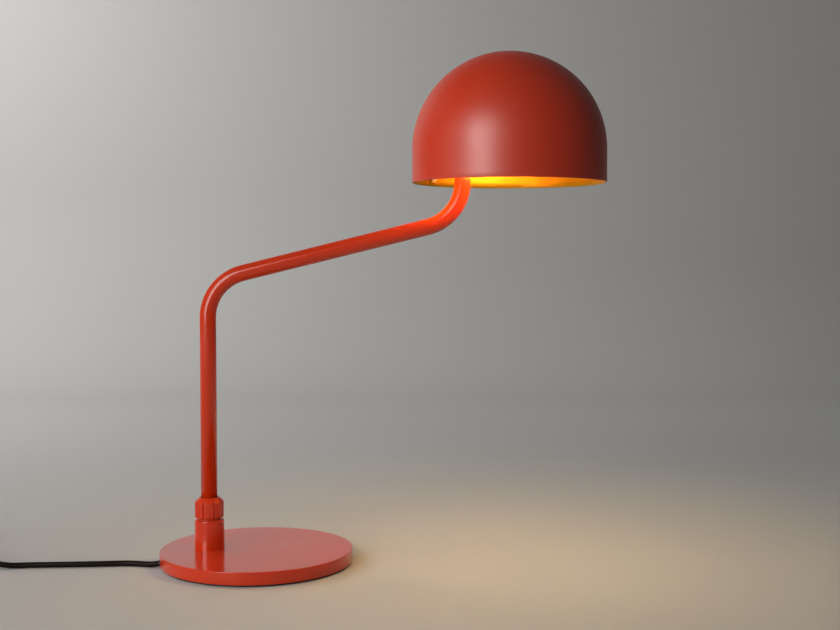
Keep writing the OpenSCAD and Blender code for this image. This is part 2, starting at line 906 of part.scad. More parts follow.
module pin_sleeves() {
    color(black_plastic)
    for (side = [-1, 1])
        translate([plug_x + 49.02, plug_y + side * 9.3, plug_z]) rotate([0, 90, 0]) ring(1.9, 1.52, 10);
}

module plug_pins() {
    color(nickel)
    for (side = [-1, 1])
        translate([plug_x + 49.02, plug_y + side * 9.3, plug_z]) rotate([0, 90, 0]) {
            cylinder(r = 1.5, h = 11);
            translate([0, 0, 10.05]) cylinder(r = 2, h = 7.95);
            translate([0, 0, 18]) cylinder(r1 = 2, r2 = 1.2, h = 1);
        }
}

// ---- nodes ----

base_disc();
foot_pad();
cover_plate();
cover_screws();
cord_bush();
base_cord();
base_leads();
cord_clamp();
clamp_screws();
collar();
collar_washer();
collar_nut();
stop_screw();
thrust_ring();
clamp_nut();
collet();
arm_tube();
tube_end_bush();
arm_cord();
tube_top_bush();
swivel_washers();
swivel_nut();
shade_shell();
wall_cleats();
cleat_nuts();
shade_bracket();
bar_screws();
bar_nuts();
head_stop_pin();
holder_body();
holder_shell();
holder_contact();
holder_terminals();
holder_screws();
holder_leads();
bulb_cap();
bulb_insulator();
bulb_globe();
cord_lead();
switch_base();
switch_cover();
switch_contacts();
switch_screws();
switch_rocker();
cord_link();
cord_coil();
cord_tail();
plug_body();
pin_sleeves();
plug_pins();
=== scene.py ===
"""Finish, cord and studio of a desk lamp with a dome shade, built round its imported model."""

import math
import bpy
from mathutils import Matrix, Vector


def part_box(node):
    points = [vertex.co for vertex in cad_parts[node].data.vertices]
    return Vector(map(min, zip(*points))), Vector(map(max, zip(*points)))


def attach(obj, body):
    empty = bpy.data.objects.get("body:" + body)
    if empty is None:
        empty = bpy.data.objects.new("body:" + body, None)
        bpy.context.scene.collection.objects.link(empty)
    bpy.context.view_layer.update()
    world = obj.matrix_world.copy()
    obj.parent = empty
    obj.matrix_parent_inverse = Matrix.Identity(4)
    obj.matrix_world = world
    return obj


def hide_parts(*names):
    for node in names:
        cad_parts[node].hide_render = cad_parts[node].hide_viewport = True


bl_info = {
    "name": "Dome Shade Desk Lamp",
    "version": (1, 0, 0),
    "blender": (4, 5, 0),
    "location": "View3D > Sidebar > Desk Lamp",
    "description": "Builds the painted metal, the bulb, the cord and the studio of a desk lamp",
    "category": "Object",
}

import bmesh
import bpy
from mathutils import Matrix, Vector

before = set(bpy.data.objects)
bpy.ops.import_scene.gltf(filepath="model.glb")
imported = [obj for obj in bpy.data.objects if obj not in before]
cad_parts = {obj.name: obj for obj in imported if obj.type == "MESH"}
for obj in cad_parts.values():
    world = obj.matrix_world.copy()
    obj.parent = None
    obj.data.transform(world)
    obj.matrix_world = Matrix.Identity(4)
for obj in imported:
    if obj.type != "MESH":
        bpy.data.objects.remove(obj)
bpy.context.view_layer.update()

MM = 0.001

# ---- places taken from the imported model, in metres ----

BASE_LO, BASE_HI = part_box("base_disc")
COLLAR_LO, COLLAR_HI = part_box("collar")
NUT_LO, NUT_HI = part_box("clamp_nut")
TUBE_LO, TUBE_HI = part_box("arm_tube")
SHADE_LO, SHADE_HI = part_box("shade_shell")
GLOBE_LO, GLOBE_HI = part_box("bulb_globe")
POST_X = (COLLAR_LO.x + COLLAR_HI.x) / 2
SHADE_X = (SHADE_LO.x + SHADE_HI.x) / 2

# The cord's route as the part's source gives it, in millimetres: from the base to the switch, from the switch
# to the coil, and from the coil to the plug
LEAD_ROUTE = [
    (-97.5, -22, 4.4), (-104, -21.9, 3.4), (-111, -20.9, 3.2), (-118, -19.2, 3.2), (-125, -17.8, 3.2),
    (-133, -17.1, 3.2), (-141, -17.2, 3.1), (-155, -18.7, 3.1), (-170, -20, 3.1), (-185, -21.1, 3.1),
    (-200, -22.1, 3.1), (-215, -22.9, 3.1), (-230, -24, 3.1), (-242, -25.6, 3.1), (-250, -26.9, 3.5),
    (-256.5, -27.7, 4.4), (-262.5, -28, 5.5), (-268, -28, 6),
]
LINK_ROUTE = [(-344, -28, 6), (-350, -28, 5.8), (-357, -28, 4.6), (-364, -28, 3.5), (-372, -28, 3.1)]
TAIL_ROUTE = [
    (-424, 24, 9.7), (-424, 32, 9.4), (-424, 41, 7.8), (-424, 50, 5.4), (-424, 60, 3.1),
    (-421.7, 71.5, 3.1), (-415.2, 81.2, 3.1), (-405.5, 87.7, 3.3), (-396, 90, 5.6), (-386, 90, 6.9),
    (-380, 90, 6.95),
]
PLUG_START = TAIL_ROUTE[-1]
SWITCH_PIVOT = (-306, -28, 13)
COIL_CENTRE = (-378, 18)
COIL_R = 46
COIL_PITCH = 6.6
COIL_TURNS = 6.25
COIL_TABLE = 3.1

# The camera that matches the photograph
CAMERA_PLACE = (0.1706, -1.2683, 0.3192)
CAMERA_DOWN = math.radians(2.713)
CAMERA_LENS = 52.47
SENSOR_WIDTH = 36

# The small domed nuts of the cleats: their angle about the shade's axis, to both sides, and height over its rim
CLEAT_AZIMUTH = math.radians(142.6)
CLEAT_HEIGHT = 7.6 * MM


# ---- the sizes and colours that a user would change ----


class LampSizes(bpy.types.PropertyGroup):
    tube_radius: bpy.props.FloatProperty(
        name="Tube radius", description="Outer radius of the arm tube", default=0.0085, unit="LENGTH"
    )
    bend_radius: bpy.props.FloatProperty(
        name="Bend radius", description="Radius of both bends at the tube's centre line",
        default=0.048, unit="LENGTH",
    )
    slope: bpy.props.FloatProperty(
        name="Slope", description="Rise of the sloping part of the arm",
        default=math.radians(13.9), subtype="ANGLE",
    )
    corner: bpy.props.FloatProperty(
        name="Corner height", description="Height where the post's axis meets the slope",
        default=0.2937, unit="LENGTH",
    )
    reach: bpy.props.FloatProperty(
        name="Reach", description="Distance from the post's axis to the tube's upper end",
        default=0.264, unit="LENGTH",
    )
    shade_wall: bpy.props.FloatProperty(
        name="Shade wall", description="Thickness of the spun shade", default=0.001, unit="LENGTH"
    )
    skirt: bpy.props.FloatProperty(
        name="Skirt height", description="Height of the straight skirt below the dome",
        default=0.034, unit="LENGTH",
    )
    nut_grooves: bpy.props.IntProperty(
        name="Nut grooves", description="Number of grooves round the clamping nut", default=8, min=6, max=12
    )
    nut_turned: bpy.props.FloatProperty(
        name="Nut turned", description="How far the nut's grooves are turned about the post",
        default=math.radians(8.4), subtype="ANGLE",
    )
    cord_diameter: bpy.props.FloatProperty(
        name="Cord diameter", description="Diameter of the mains cord", default=0.006, unit="LENGTH"
    )


class LampFinish(bpy.types.PropertyGroup):
    lacquer: bpy.props.FloatVectorProperty(
        name="Lacquer", description="Red lacquer of the metal",
        default=(0.52, 0.030, 0.004), size=3, min=0, max=1, subtype="COLOR",
    )
    lining: bpy.props.FloatVectorProperty(
        name="Lining", description="Gold lacquer inside the shade",
        default=(0.50, 0.255, 0.010), size=3, min=0, max=1, subtype="COLOR",
    )
    glow: bpy.props.FloatVectorProperty(
        name="Glow", description="Colour of the light from the bulb",
        default=(1.0, 0.72, 0.30), size=3, min=0, max=1, subtype="COLOR",
    )
    glow_strength: bpy.props.FloatProperty(
        name="Glow strength", description="Strength of the light from the bulb", default=84.0, min=0
    )


class LampStudio(bpy.types.PropertyGroup):
    key_power: bpy.props.FloatProperty(
        name="Key light", description="Power of the large light on the left",
        default=28.0, min=0, unit="POWER",
    )
    fill_power: bpy.props.FloatProperty(
        name="Fill light", description="Power of the weak light in front", default=1.0, min=0, unit="POWER"
    )
    backdrop: bpy.props.FloatVectorProperty(
        name="Backdrop", description="Colour of the floor and the backdrop",
        default=(0.47, 0.465, 0.45), size=3, min=0, max=1, subtype="COLOR",
    )
    sky: bpy.props.FloatProperty(
        name="Ambient", description="Strength of the even light from all round", default=0.04, min=0
    )


def sizes():
    return bpy.context.scene.lamp_sizes


def finish_colours():
    return bpy.context.scene.lamp_finish


# ---- shader groups ----


def new_group(name, inputs, outputs):
    """A shader group with float inputs (name: default) and outputs (name: socket type)."""
    tree = bpy.data.node_groups.new(name, "ShaderNodeTree")
    for label, value in inputs.items():
        tree.interface.new_socket(label, in_out="INPUT", socket_type="NodeSocketFloat").default_value = value
    for label, kind in outputs.items():
        tree.interface.new_socket(label, in_out="OUTPUT", socket_type=kind)
    return tree, tree.nodes.new("NodeGroupInput"), tree.nodes.new("NodeGroupOutput")


def math_node(tree, operation, a, b, clamp=False):
    node = tree.nodes.new("ShaderNodeMath")
    node.operation = operation
    node.use_clamp = clamp
    for socket, value in zip(node.inputs, (a, b)):
        if isinstance(value, (int, float)):
            socket.default_value = value
        else:
            tree.links.new(value, socket)
    return node.outputs[0]


def noise_node(tree, vector, scale, detail=3, roughness=0.5):
    node = tree.nodes.new("ShaderNodeTexNoise")
    node.inputs["Detail"].default_value = detail
    node.inputs["Roughness"].default_value = roughness
    tree.links.new(vector, node.inputs["Vector"])
    if isinstance(scale, (int, float)):
        node.inputs["Scale"].default_value = scale
    else:
        tree.links.new(scale, node.inputs["Scale"])
    return node.outputs["Fac"]


def range_node(tree, value, low, high, to_low=0.0, to_high=1.0):
    """Spreads what lies between low and high over another range."""
    node = tree.nodes.new("ShaderNodeMapRange")
    tree.links.new(value, node.inputs["Value"])
    for label, number in zip(("From Min", "From Max", "To Min", "To Max"), (low, high, to_low, to_high)):
        node.inputs[label].default_value = number
    return node.outputs["Result"]


DUST_COLOUR = (0.55, 0.52, 0.48)


def surface_group():
    """Fine grain, a slow mottle and settled dust, all on the object's own coordinates."""
    name = "surface_detail"
    if name in bpy.data.node_groups:
        return bpy.data.node_groups[name]
    tree, given, out = new_group(
        name,
        {"Grain Scale": 900.0, "Mottle Scale": 18.0, "Dust": 0.0},
        {"Grain": "NodeSocketFloat", "Mottle": "NodeSocketFloat", "Dust": "NodeSocketFloat"},
    )
    place = tree.nodes.new("ShaderNodeTexCoord").outputs["Object"]
    grain = noise_node(tree, place, given.outputs["Grain Scale"], 2)
    mottle = noise_node(tree, place, given.outputs["Mottle Scale"], 4, 0.55)
    # Dust lies on what faces up, in patches and a few flecks
    normal = tree.nodes.new("ShaderNodeNewGeometry").outputs["Normal"]
    split = tree.nodes.new("ShaderNodeSeparateXYZ")
    tree.links.new(normal, split.inputs[0])
    upward = math_node(tree, "MAXIMUM", split.outputs["Z"], 0.0)
    flecks = range_node(tree, noise_node(tree, place, 1400.0, 1), 0.60, 0.70)
    dust = math_node(tree, "MULTIPLY", math_node(tree, "MULTIPLY", upward, mottle), given.outputs["Dust"])
    dust = math_node(tree, "MULTIPLY", dust, math_node(tree, "ADD", flecks, 0.4), clamp=True)
    for label, socket in (("Grain", grain), ("Mottle", mottle), ("Dust", dust)):
        tree.links.new(socket, out.inputs[label])
    return tree


def place_surface(tree, grain_scale, mottle_scale, dust):
    node = tree.nodes.new("ShaderNodeGroup")
    node.node_tree = surface_group()
    node.inputs["Grain Scale"].default_value = grain_scale
    node.inputs["Mottle Scale"].default_value = mottle_scale
    node.inputs["Dust"].default_value = dust
    return node


def mix_colour(tree, factor, a, b):
    node = tree.nodes.new("ShaderNodeMix")
    node.data_type = "RGBA"
    sockets = {s.identifier: s for s in node.inputs}
    for identifier, value in (("Factor_Float", factor), ("A_Color", a), ("B_Color", b)):
        if isinstance(value, tuple):
            sockets[identifier].default_value = (*value, 1.0)
        else:
            tree.links.new(value, sockets[identifier])
    return next(s for s in node.outputs if s.identifier == "Result_Color")


def material(
    name,
    colour,
    rough,
    metal=0.0,
    rough_swing=0.08,
    tone_swing=0.10,
    grain_scale=900.0,
    mottle_scale=18.0,
    bump=0.02,
    bump_depth=0.0002,
    dust=0.0,
    coat=0.0,
    coat_rough=0.1,
    coat_ior=1.5,
    ior=1.5,
    emission=None,
    emission_strength=0.0,
):
    """One finish: a colour that drifts a little, a roughness that varies, a fine grain and settled dust."""
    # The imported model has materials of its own, some under the same plain names
    name += "_finish"
    if name in bpy.data.materials:
        return bpy.data.materials[name]
    made = bpy.data.materials.new(name)
    made.use_nodes = True
    tree = made.node_tree
    shader = tree.nodes["Principled BSDF"]
    detail = place_surface(tree, grain_scale, mottle_scale, dust)
    dark = tuple(c * (1 - tone_swing) for c in colour)
    light = tuple(min(1.0, c * (1 + tone_swing)) for c in colour)
    base = mix_colour(tree, detail.outputs["Mottle"], dark, light)
    if dust:
        base = mix_colour(tree, detail.outputs["Dust"], base, DUST_COLOUR)
    tree.links.new(base, shader.inputs["Base Color"])
    smoother, rougher = max(0.02, rough - rough_swing), min(1.0, rough + rough_swing)
    roughness = range_node(tree, detail.outputs["Mottle"], 0.3, 0.7, smoother, rougher)
    tree.links.new(roughness, shader.inputs["Roughness"])
    shader.inputs["Metallic"].default_value = metal
    shader.inputs["IOR"].default_value = ior
    shader.inputs["Coat Weight"].default_value = coat
    shader.inputs["Coat Roughness"].default_value = coat_rough
    shader.inputs["Coat IOR"].default_value = coat_ior
    relief = tree.nodes.new("ShaderNodeBump")
    relief.inputs["Strength"].default_value = bump
    relief.inputs["Distance"].default_value = bump_depth
    tree.links.new(detail.outputs["Grain"], relief.inputs["Height"])
    tree.links.new(relief.outputs["Normal"], shader.inputs["Normal"])
    if emission:
        shader.inputs["Emission Color"].default_value = (*emission, 1.0)
        shader.inputs["Emission Strength"].default_value = emission_strength
    return made


# ---- finishes ----


def red(name, rough, **look):
    """A finish in the lamp's red; the tube, the base and the shade differ in gloss."""
    colour = tuple(finish_colours().lacquer)
    return material(name, colour, rough, rough_swing=0.03, tone_swing=0.04, **look)


def lacquer():
    return red(
        "red_lacquer", 0.30, grain_scale=650.0, mottle_scale=14.0, bump=0.02, bump_depth=0.00006, dust=0.02,
        coat=0.85, coat_rough=0.16, ior=1.2,
    )


def polished_lacquer():
    return red(
        "red_polished_lacquer", 0.30, grain_scale=650.0, mottle_scale=14.0, bump=0.04, bump_depth=0.00010,
        dust=0.04, coat=1.0, coat_rough=0.09, coat_ior=1.38, ior=1.3,
    )


def satin_lacquer():
    return red(
        "red_satin_lacquer", 0.42, grain_scale=620.0, mottle_scale=12.0, bump=0.16, bump_depth=0.00014,
        dust=0.03, ior=1.78,
    )


def lining():
    return material(
        "gold_lining", tuple(finish_colours().lining), 0.33, metal=0.94, rough_swing=0.04, tone_swing=0.05,
        grain_scale=700.0, mottle_scale=16.0, bump=0.08, bump_depth=0.0001,
    )


def opal():
    look = finish_colours()
    return material(
        "lit_opal_glass", (0.95, 0.90, 0.80), 0.22, rough_swing=0.02, tone_swing=0.02, grain_scale=500.0,
        emission=tuple(look.glow), emission_strength=look.glow_strength,
    )


def cord_sheath():
    return material(
        "cord_sheath", (0.008, 0.005, 0.003), 0.34, ior=1.2, rough_swing=0.05, tone_swing=0.15,
        grain_scale=1500.0, mottle_scale=30.0, bump=0.10, bump_depth=0.0001,
    )


def black_plastic():
    return material(
        "black_plastic", (0.016, 0.016, 0.018), 0.42, rough_swing=0.06, tone_swing=0.12,
        grain_scale=2200.0, bump=0.35, bump_depth=0.00015, dust=0.08,
    )


def black_rubber():
    return material(
        "black_rubber", (0.012, 0.011, 0.011), 0.68, tone_swing=0.15, grain_scale=1600.0, bump=0.35,
        dust=0.12,
    )


def zinc():
    return material(
        "zinc_plate", (0.52, 0.53, 0.55), 0.34, metal=1.0, grain_scale=1200.0, mottle_scale=60.0, bump=0.10,
    )


def nickel():
    return material(
        "nickel_plate", (0.70, 0.68, 0.64), 0.30, metal=1.0, rough_swing=0.05, tone_swing=0.06,
        grain_scale=1200.0, mottle_scale=50.0, bump=0.05,
    )


def nickel_warmed_for_glint():
    """The cleats' nuts: nickel, its colour made warm and pale as a painted glint of the bulb's warm light."""
    return material(
        "warm_nickel_plate", (0.95, 0.74, 0.42), 0.34, metal=0.25, rough_swing=0.05, tone_swing=0.06,
        grain_scale=1200.0, mottle_scale=50.0, bump=0.05,
    )


def brass():
    return material(
        "plain_brass", (0.62, 0.42, 0.14), 0.30, metal=1.0, tone_swing=0.12, grain_scale=1300.0,
        mottle_scale=55.0, bump=0.10,
    )


def porcelain():
    return material(
        "glazed_porcelain", (0.84, 0.82, 0.76), 0.12, rough_swing=0.03, tone_swing=0.02, grain_scale=300.0,
        bump=0.04, coat=0.5, coat_rough=0.05,
    )


def white_plastic():
    return material(
        "white_plastic", (0.78, 0.76, 0.70), 0.30, rough_swing=0.05, tone_swing=0.03, grain_scale=1800.0,
        bump=0.12,
    )


def core_sheath():
    return material(
        "core_sheath", (0.10, 0.035, 0.012), 0.38, rough_swing=0.05, grain_scale=1500.0, bump=0.10,
    )


# Which finish each CAD node that stays gets
NODE_FINISHES = {
    zinc: (
        "cover_plate", "cover_screws", "clamp_screws", "collar_washer", "collar_nut", "stop_screw",
        "swivel_washers", "swivel_nut", "shade_bracket", "bar_screws", "bar_nuts", "head_stop_pin",
        "holder_screws", "switch_screws",
    ),
    brass: (
        "thrust_ring", "collet", "tube_top_bush", "holder_shell", "holder_contact", "holder_terminals",
        "switch_contacts",
    ),
    nickel: ("bulb_cap", "plug_pins"),
    porcelain: ("holder_body",),
    black_plastic: ("cord_clamp", "bulb_insulator", "switch_base", "pin_sleeves"),
    black_rubber: ("cord_bush", "base_cord", "foot_pad"),
    white_plastic: ("tube_end_bush",),
    core_sheath: ("base_leads", "arm_cord", "holder_leads"),
    lining: ("wall_cleats",),
}


# ---- making pieces ----


def mm(*numbers):
    return Vector(numbers) * MM


def moved_verts(made):
    """The vertices among what an operator of bmesh gives back."""
    return [g for g in made if isinstance(g, bmesh.types.BMVert)]


def once(items):
    """Each item once, in the order given."""
    return list(dict.fromkeys(items))


def merge_doubles(bm):
    bmesh.ops.remove_doubles(bm, verts=bm.verts[:], dist=1e-6)


def lathe(bm, profile, origin, axis=(0, 0, 1), steps=128):
    """Spins a closed profile of (radius, height) points in metres round an axis through origin."""
    axis = Vector(axis)
    origin = Vector(origin)
    side = Vector((1, 0, 0)) if abs(axis.x) < 0.5 else Vector((0, 0, 1))
    verts = [bm.verts.new(origin + side * r + axis * h) for r, h in profile]
    edges = [bm.edges.new(pair) for pair in zip(verts, verts[1:])]
    edges.append(bm.edges.new((verts[-1], verts[0])))
    bmesh.ops.spin(
        bm, geom=verts + edges, cent=origin, axis=axis, dvec=(0, 0, 0), angle=2 * math.pi, steps=steps,
        use_merge=True, use_normal_flip=False, use_duplicate=False,
    )
    merge_doubles(bm)
    # A profile that runs from pole to pole leaves its closing edge on the axis
    bmesh.ops.delete(bm, geom=[e for e in bm.edges if not e.link_faces], context="EDGES")
    bmesh.ops.recalc_face_normals(bm, faces=bm.faces[:])


def round_edges(bm, edges, width, segments):
    bmesh.ops.bevel(
        bm, geom=edges, offset=width, offset_type="OFFSET", affect="EDGES", segments=segments, profile=0.5,
        material=-1,
    )


def soften(bm, width, segments, above, chosen=None):
    """Rounds the edges whose faces meet at more than an angle in degrees."""
    limit = math.radians(above)
    edges = [
        e for e in bm.edges
        if len(e.link_faces) == 2 and e.calc_face_angle(0) > limit and (chosen is None or chosen(e))
    ]
    bmesh.ops.bevel(
        bm, geom=edges, offset=width, offset_type="OFFSET", affect="EDGES", segments=segments, profile=0.5,
        material=-1, clamp_overlap=True,
    )


def piece(bm, name, materials, body, replaced, sharp=38):
    """Makes the mesh an object at the origin that rides on a CAD body and stands for CAD nodes."""
    bmesh.ops.recalc_face_normals(bm, faces=bm.faces[:])
    limit = math.radians(sharp)
    for face in bm.faces:
        face.smooth = True
    for edge in bm.edges:
        edge.smooth = not (len(edge.link_faces) == 2 and edge.calc_face_angle(0) > limit)
    mesh = bpy.data.meshes.new(name)
    bm.to_mesh(mesh)
    bm.free()
    for made in materials:
        mesh.materials.append(made)
    obj = bpy.data.objects.new(name, mesh)
    bpy.context.scene.collection.objects.link(obj)
    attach(obj, body)
    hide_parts(*replaced)
    return obj


def turn_up_to(direction):
    """The turn that brings Z to a direction."""
    return Vector((0, 0, 1)).rotation_difference(direction).to_matrix().to_4x4()


def circle(bm, radius, centre, steps, axis=None):
    """A ring of edges; its own axis is Z unless one is given."""
    turn = Matrix() if axis is None else turn_up_to(Vector(axis))
    made = bmesh.ops.create_circle(
        bm, cap_ends=False, segments=steps, radius=radius, matrix=Matrix.Translation(Vector(centre)) @ turn
    )
    return once(e for v in made["verts"] for e in v.link_edges)


def draw_out(bm, ring):
    """Extrudes a ring of edges where it is; gives the new ring and its vertices."""
    made = bmesh.ops.extrude_edge_only(bm, edges=ring)["geom"]
    verts = moved_verts(made)
    new = set(verts)
    return [g for g in made if isinstance(g, bmesh.types.BMEdge) and new.issuperset(g.verts)], verts


def draw_rings(bm, ring, centre_x, profile, cut_only=False):
    """Draws a ring round an upright axis on through (radius, height) points in metres; gives the last ring.

    With cut_only, only what lies outside the radius is brought back to it.
    """
    for radius, height in profile:
        ring, verts = draw_out(bm, ring)
        for vert in verts:
            flat = vert.co.xy - Vector((centre_x, 0))
            scale = radius / flat.length
            flat *= min(1, scale) if cut_only else scale
            vert.co = (centre_x + flat.x, flat.y, height)
    return ring


def fill_ring(bm, outer, inner, upward):
    """Closes the flat ring between two rings of edges."""
    bmesh.ops.triangle_fill(
        bm, use_beauty=True, use_dissolve=False, edges=outer + inner, normal=(0, 0, 1 if upward else -1)
    )


# ---- the stage ----


class LAMP_OT_stage(bpy.types.Operator):
    """Floor, backdrop, lights and the camera at the photograph's angle"""

    bl_idname = "lamp.stage"
    bl_label = "Studio"

    def execute(self, context):
        scene = context.scene
        studio = scene.lamp_studio
        scene.view_settings.view_transform = "Standard"
        self.camera(scene)
        self.floor(scene, tuple(studio.backdrop))
        self.light(
            "key", studio.key_power, (1.0, 1.4), (-1.02, -1.70, 0.83), (0.1, 0, 0.35), (1.0, 0.97, 0.94), glossy=True
        )
        self.light("side", 19.0, (1.0, 1.5), (-2.1, -0.7, 0.9), (0.1, 0, 0.3), (1.0, 0.98, 0.96))
        self.light("back", 4.0, (1.6, 1.0), (0.75, 1.9, 1.1), (0.75, 0, 0.95), (0.97, 0.98, 1.0))
        self.light("fill", studio.fill_power, (2.0, 1.4), (0.6, -2.4, 1.5), (0.1, 0, 0.2), (0.95, 0.97, 1.0))
        self.light("wall", 22.0, (1.2, 0.8), (-1.4, 0.9, 1.4), (-0.6, 2.0, 0.2), (1.0, 1.0, 1.0))
        self.world(scene, studio.sky)
        return {"FINISHED"}

    def camera(self, scene):
        camera = bpy.data.cameras.new("camera")
        camera.lens = CAMERA_LENS
        camera.sensor_width = SENSOR_WIDTH
        camera.clip_end = 30
        eye = bpy.data.objects.new("camera", camera)
        eye.location = CAMERA_PLACE
        eye.rotation_euler = (math.pi / 2 - CAMERA_DOWN, 0, 0)
        scene.collection.objects.link(eye)
        scene.camera = eye

    def floor(self, scene, colour):
        """A floor that turns up into a wall behind the lamp: one line along y, pulled out along x."""
        half_width, wall_y, wall_top, bend, steps = 3.5, 2.0, 2.6, 0.5, 14
        rows = [(y, 0.0) for y in (-3.0, -1.0, 0.0, 1.0, wall_y - bend)]
        turns = [math.pi / 2 * i / steps for i in range(1, steps + 1)]
        rows += [(wall_y - bend + bend * math.sin(a), bend - bend * math.cos(a)) for a in turns]
        rows += [(wall_y, 1.0), (wall_y, wall_top)]
        bm = bmesh.new()
        start = [bm.verts.new((-half_width, y, z)) for y, z in rows]
        edges = [bm.edges.new(pair) for pair in zip(start, start[1:])]
        made = bmesh.ops.extrude_edge_only(bm, edges=edges)
        bmesh.ops.translate(bm, vec=(2 * half_width, 0, 0), verts=moved_verts(made["geom"]))
        bmesh.ops.recalc_face_normals(bm, faces=bm.faces[:])
        for face in bm.faces:
            face.smooth = True
        mesh = bpy.data.meshes.new("floor")
        bm.to_mesh(mesh)
        bm.free()
        mesh.materials.append(material(
            "backdrop_paper", colour, 0.75, rough_swing=0.05, tone_swing=0.02, grain_scale=260.0,
            mottle_scale=2.0,
        ))
        floor = bpy.data.objects.new("floor", mesh)
        scene.collection.objects.link(floor)

    def light(self, name, power, size, place, aim, colour, glossy=False):
        """A rectangular light; only a glossy one shows in the lamp's reflections."""
        lamp = bpy.data.lights.new(name, "AREA")
        lamp.energy = power
        lamp.shape = "RECTANGLE"
        lamp.size, lamp.size_y = size
        lamp.color = colour
        holder = bpy.data.objects.new(name, lamp)
        holder.location = place
        holder.rotation_euler = (Vector(aim) - Vector(place)).to_track_quat("-Z", "Y").to_euler()
        holder.visible_glossy = glossy
        bpy.context.scene.collection.objects.link(holder)

    def world(self, scene, sky):
        """An even weak light, and a pale background that only the camera and, dimmed, reflections see."""
        background, in_reflections = 0.32, 0.1
        world = bpy.data.worlds.new("studio")
        world.use_nodes = True
        tree = world.node_tree
        shader = tree.nodes["Background"]
        shader.inputs["Color"].default_value = (0.92, 0.95, 1.0, 1.0)
        ray = tree.nodes.new("ShaderNodeLightPath").outputs
        seen = math_node(tree, "ADD", ray["Is Camera Ray"], ray["Is Transmission Ray"])
        reflected = math_node(tree, "MULTIPLY", ray["Is Glossy Ray"], in_reflections)
        seen = math_node(tree, "ADD", seen, reflected)
        strength = math_node(tree, "ADD", math_node(tree, "MULTIPLY", seen, background), sky)
        tree.links.new(strength, shader.inputs["Strength"])
        scene.world = world


# ---- the cord ----


def coil_points():
    """The coil winds inwards on the table and outwards again on top of itself."""
    points = []
    steps = 24
    half = COIL_TURNS / 2
    for i in range(int(steps * COIL_TURNS) + 1):
        turns = i / steps
        # It climbs a layer over half a turn in the middle, smoothly at both ends
        climb = min(1, max(0, (turns - half + 0.25) / 0.5))
        climb = climb * climb * (3 - 2 * climb)
        r = COIL_R - COIL_PITCH * min(turns, COIL_TURNS - turns)
        angle = math.radians(-90 - 360 * turns)
        x, y = COIL_CENTRE[0] + r * math.cos(angle), COIL_CENTRE[1] + r * math.sin(angle)
        points.append((x, y, COIL_TABLE + COIL_PITCH * climb))
    return points


def cord_route():
    return LEAD_ROUTE + LINK_ROUTE + coil_points() + TAIL_ROUTE


class LAMP_OT_cord(bpy.types.Operator):
    """The mains cord from the base through the switch and the coil to the plug"""

    bl_idname = "lamp.cord"
    bl_label = "Mains cord"

    def execute(self, context):
        route = cord_route()
        curve = bpy.data.curves.new("mains_cord", "CURVE")
        curve.dimensions = "3D"
        curve.bevel_depth = sizes().cord_diameter / 2
        curve.bevel_resolution = 4
        curve.resolution_u = 3
        curve.use_fill_caps = True
        spline = curve.splines.new("BEZIER")
        spline.bezier_points.add(len(route) - 1)
        for point, place in zip(spline.bezier_points, route):
            point.co = mm(*place)
            point.handle_left_type = point.handle_right_type = "AUTO"
        curve.materials.append(cord_sheath())
        cord = bpy.data.objects.new("mains_cord", curve)
        context.scene.collection.objects.link(cord)
        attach(cord, "base")
        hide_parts("cord_lead", "cord_link", "cord_coil", "cord_tail")
        return {"FINISHED"}


# ---- the switch and the plug ----


